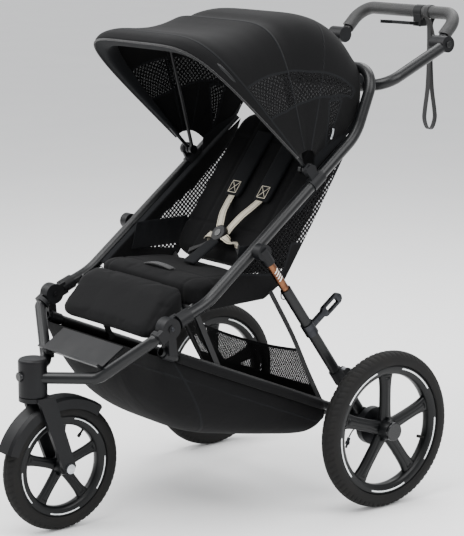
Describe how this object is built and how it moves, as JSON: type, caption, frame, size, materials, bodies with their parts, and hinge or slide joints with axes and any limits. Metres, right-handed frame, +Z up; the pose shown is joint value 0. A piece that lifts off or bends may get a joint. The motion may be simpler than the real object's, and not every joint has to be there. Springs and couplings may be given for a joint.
{
  "type": "baby stroller",
  "caption": "Jogging stroller: folding tube frame on spoked wheels, swivel front fork, padded seat with harness, peaked canopy, basket and tilting handlebar.",
  "frame": {"origin": "on the ground under the middle of the rear axle", "axes": "+Z up, -Y the way the stroller drives, +X the child's left"},
  "size_m": [0.744, 1.2465, 1.164],
  "materials": {
    "frame_black": "satin black anodised",
    "plastic_black": "fine moulded grain",
    "rim_black": "semi gloss moulded",
    "tyre_rubber": "matte rubber",
    "grip_leather": "fine grain, stitched",
    "seat_cloth": "fine twill",
    "canopy_cloth": "plain weave with mesh windows",
    "basket_cloth": "coated plain weave and mesh",
    "webbing": "striped woven webbing",
    "strap_black": "woven strap",
    "bronze": "bronze anodised",
    "pedal_grey": "moulded",
    "steel": "zinc plated"
  },
  "bodies": {
    "chassis": {"steering_head": "plastic_black", "footrest": "plastic_black", "front_tubes": "frame_black", "lower_rails": "frame_black", "fold_joints_lower": "plastic_black", "rear_axle_brackets": "plastic_black", "rear_axle": "steel", "brake_drums": "plastic_black", "basket": "basket_cloth"},
    "swivel_lock": {"swivel_lock_button": "plastic_black"},
    "fork": {"front_fork": "plastic_black", "front_axle_bolt": "steel", "front_mudguard": "plastic_black"},
    "front_wheel": {"front_tyre": "tyre_rubber", "front_rim": "rim_black"},
    "left_wheel": {"rear_tyre_left": "tyre_rubber", "rear_rim_left": "rim_black", "rear_hub_cap_left": "plastic_black"},
    "right_wheel": {"rear_tyre_right": "tyre_rubber", "rear_rim_right": "rim_black", "rear_hub_cap_right": "plastic_black"},
    "rear_legs": {"rear_legs": "frame_black", "leg_inner_tubes": "bronze", "leg_slide_shoes": "plastic_black", "transport_lock_hook": "plastic_black", "brake_pedal_mount": "plastic_black"},
    "pedal": {"brake_pedal": "pedal_grey"},
    "upper_frame": {"fold_joints_upper": "plastic_black", "main_tubes": "frame_black", "arch_tube": "frame_black", "handle_yokes": "plastic_black", "handle_carrier_tube": "frame_black", "tilt_hubs_lower": "plastic_black", "canopy_mounts": "plastic_black", "canopy_rear_panel": "canopy_cloth", "seat_cushion": "seat_cloth", "calf_rest": "seat_cloth", "seat_sides": "seat_cloth", "crotch_pad": "seat_cloth", "harness_buckle": "plastic_black"},
    "links": {"fold_links": "plastic_black"},
    "tilt_button_l": {"tilt_button_left": "plastic_black"},
    "tilt_button_r": {"tilt_button_right": "plastic_black"},
    "handle": {"tilt_hubs_upper": "plastic_black", "handlebar": "frame_black", "handle_grip": "grip_leather", "brake_lever_clamp": "plastic_black", "brake_cable": "plastic_black"},
    "hand_lever": {"brake_lever": "plastic_black"},
    "strap": {"wrist_strap": "strap_black"},
    "seat_back": {"backrest": "seat_cloth", "shoulder_pads": "seat_cloth", "harness_straps": "webbing"},
    "buckle_release": {"buckle_button": "plastic_black"},
    "fold_pull": {"fold_pull_strap": "strap_black"},
    "canopy_middle": {"canopy_middle_bow": "plastic_black", "canopy_middle_panel": "canopy_cloth"},
    "canopy_front": {"canopy_front_bow": "plastic_black", "canopy_front_panel": "canopy_cloth"}
  },
  "joints": [
    {"name": "frame_fold", "type": "hinge", "parent": "chassis", "child": "upper_frame", "pos_m": [0, -0.564, 0.499], "axis": [1, 0, 0], "range_deg": [-36, 0]},
    {"name": "rear_leg_fold", "type": "hinge", "parent": "chassis", "child": "rear_legs", "pos_m": [0, -0.013, 0.216], "axis": [1, 0, 0], "range_deg": [0, 23.5]},
    {"name": "link_fold", "type": "hinge", "parent": "upper_frame", "child": "links", "pos_m": [0, -0.48, 0.5315], "axis": [1, 0, 0], "range_deg": [0, 56]},
    {"name": "fork_swivel", "type": "hinge", "parent": "chassis", "child": "fork", "pos_m": [0, -0.771, 0.34], "axis": [0, 0, 1], "continuous": true},
    {"name": "front_wheel_spin", "type": "hinge", "parent": "fork", "child": "front_wheel", "pos_m": [0, -0.7, 0.152], "axis": [1, 0, 0], "continuous": true},
    {"name": "left_wheel_spin", "type": "hinge", "parent": "chassis", "child": "left_wheel", "pos_m": [0.335, 0, 0.19], "axis": [1, 0, 0], "continuous": true},
    {"name": "right_wheel_spin", "type": "hinge", "parent": "chassis", "child": "right_wheel", "pos_m": [-0.335, 0, 0.19], "axis": [1, 0, 0], "continuous": true},
    {"name": "swivel_lock_press", "type": "slide", "parent": "chassis", "child": "swivel_lock", "axis": [0, 1, 0], "range_m": [0, 0.004], "stiffness_N_per_m": 300},
    {"name": "brake_pedal_press", "type": "hinge", "parent": "rear_legs", "child": "pedal", "pos_m": [0.265, -0.06517, 0.33032], "axis": [1, 0, 0], "range_deg": [-25, 0]},
    {"name": "handle_tilt", "type": "hinge", "parent": "upper_frame", "child": "handle", "pos_m": [0, 0.304, 1.079], "axis": [1, 0, 0], "range_deg": [-75, 35]},
    {"name": "tilt_button_left_press", "type": "slide", "parent": "upper_frame", "child": "tilt_button_l", "axis": [-1, 0, 0], "range_m": [0, 0.003], "stiffness_N_per_m": 300},
    {"name": "tilt_button_right_press", "type": "slide", "parent": "upper_frame", "child": "tilt_button_r", "axis": [1, 0, 0], "range_m": [0, 0.003], "stiffness_N_per_m": 300},
    {"name": "brake_lever_pull", "type": "hinge", "parent": "handle", "child": "hand_lever", "pos_m": [0.042, 0.37, 1.117], "axis": [0, 0, 1], "range_deg": [-16, 0], "stiffness_Nm_per_rad": 0.6},
    {"name": "strap_hang", "type": "hinge", "parent": "handle", "child": "strap", "pos_m": [0.074, 0.374, 1.147], "axis": [1, 0, 0], "range_deg": [-35.5, 75.5]},
    {"name": "backrest_recline", "type": "hinge", "parent": "upper_frame", "child": "seat_back", "pos_m": [0, -0.232, 0.55], "axis": [1, 0, 0], "range_deg": [-25, 0]},
    {"name": "buckle_button_press", "type": "slide", "parent": "upper_frame", "child": "buckle_release", "axis": [0, 0.809, -0.5878], "range_m": [0, 0.003], "stiffness_N_per_m": 300},
    {"name": "fold_pull_lift", "type": "slide", "parent": "upper_frame", "child": "fold_pull", "axis": [0, 0, 1], "range_m": [0, 0.03]},
    {"name": "canopy_middle_fold", "type": "hinge", "parent": "upper_frame", "child": "canopy_middle", "pos_m": [0, -0.157, 0.815], "axis": [1, 0, 0], "range_deg": [-20.5, 0]},
    {"name": "canopy_front_fold", "type": "hinge", "parent": "canopy_middle", "child": "canopy_front", "pos_m": [0, -0.157, 0.815], "axis": [1, 0, 0], "range_deg": [-21.6, 0]}
  ],
  "couplings": [
    {"joint": "rear_leg_fold", "follows": "frame_fold", "ratio": -0.6458},
    {"joint": "link_fold", "follows": "frame_fold", "ratio": -1.54},
    {"joint": "canopy_front_fold", "follows": "canopy_middle_fold", "ratio": 1.0455},
    {"joint": "strap_hang", "follows": "handle_tilt", "ratio": -1}
  ]
}
